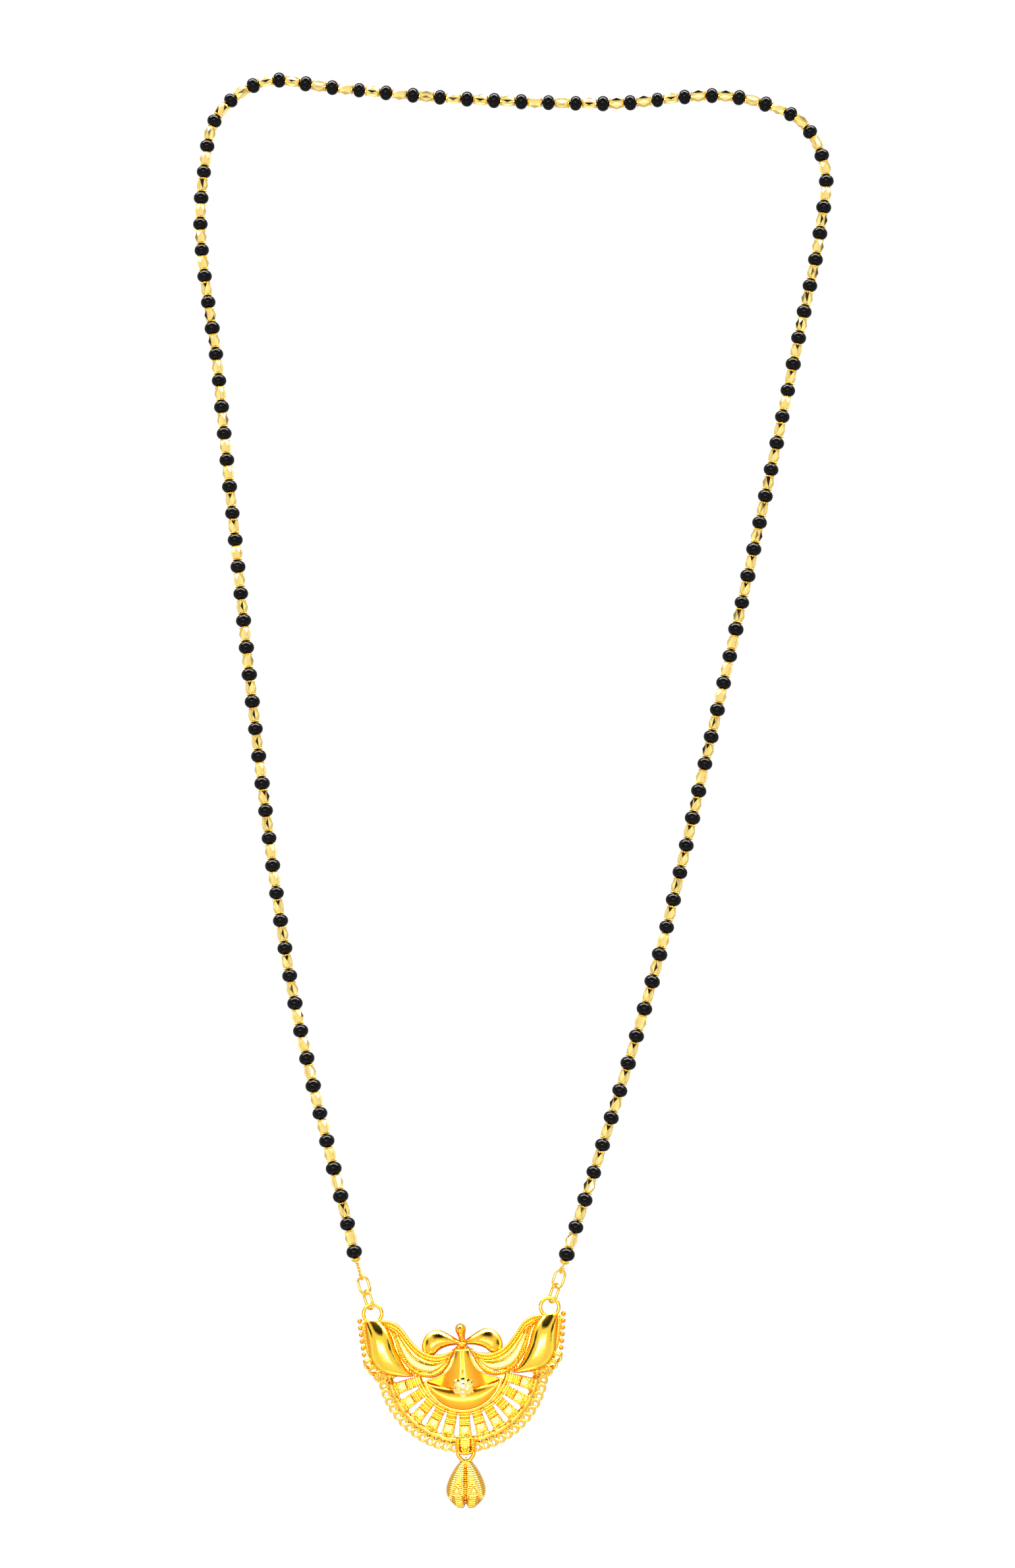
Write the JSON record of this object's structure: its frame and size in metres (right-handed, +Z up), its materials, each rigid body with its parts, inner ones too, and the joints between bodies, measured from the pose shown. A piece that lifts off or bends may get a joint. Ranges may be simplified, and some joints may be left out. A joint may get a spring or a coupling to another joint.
{
  "type": "mangalsutra necklace",
  "caption": "Mangalsutra laid flat: black glass and faceted gold beads on a loop, closed by links at a pierced fan pendant with a bow, flower and ribbed drop.",
  "frame": {"origin": "middle of the bottom of the box round the whole necklace, on the surface that it lies on", "axes": "+Y from the drop towards the nape, +X to the right as it is looked down on, +Z up from the surface, out of the pendant's face"},
  "size_m": [0.135, 0.2995, 0.0037],
  "materials": {
    "pendant_gold": "polished gold",
    "drop_gold": "polished gold",
    "wire_gold": "polished gold",
    "bead_gold": "diamond-cut polished gold",
    "black_glass": "glossy black glass",
    "thread": "matt black thread"
  },
  "bodies": {
    "root": {"pendant": "pendant_gold", "drop": "drop_gold", "drop_ring": "wire_gold", "low_link_left": "wire_gold", "high_link_left": "wire_gold", "low_link_right": "wire_gold", "high_link_right": "wire_gold", "end_left": "wire_gold", "end_right": "wire_gold", "glass_beads": "black_glass", "gold_beads": "bead_gold", "thread": "thread"}
  },
  "joints": []
}
